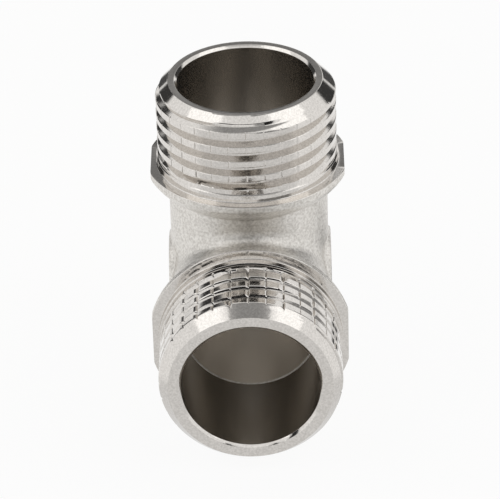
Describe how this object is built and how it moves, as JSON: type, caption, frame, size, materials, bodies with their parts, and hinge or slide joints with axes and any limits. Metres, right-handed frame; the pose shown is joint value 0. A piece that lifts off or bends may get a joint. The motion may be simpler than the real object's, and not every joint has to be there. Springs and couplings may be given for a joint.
{
  "type": "threaded pipe elbow",
  "caption": "Right-angle pipe elbow, forged in one piece, with an outside thread, a land and a flatted collar on each port and a bore right through the bend.",
  "frame": {"origin": "where the centre lines of the two ports cross", "axes": "+Z out of the upper port, -Y out of the front port, +X square to both"},
  "size_m": [0.0218, 0.0364, 0.0364],
  "materials": {
    "nickel_plate": "nickel plated, shot blasted on the forging and turned on the ports"
  },
  "bodies": {
    "root": {"elbow": "nickel_plate"}
  },
  "joints": []
}
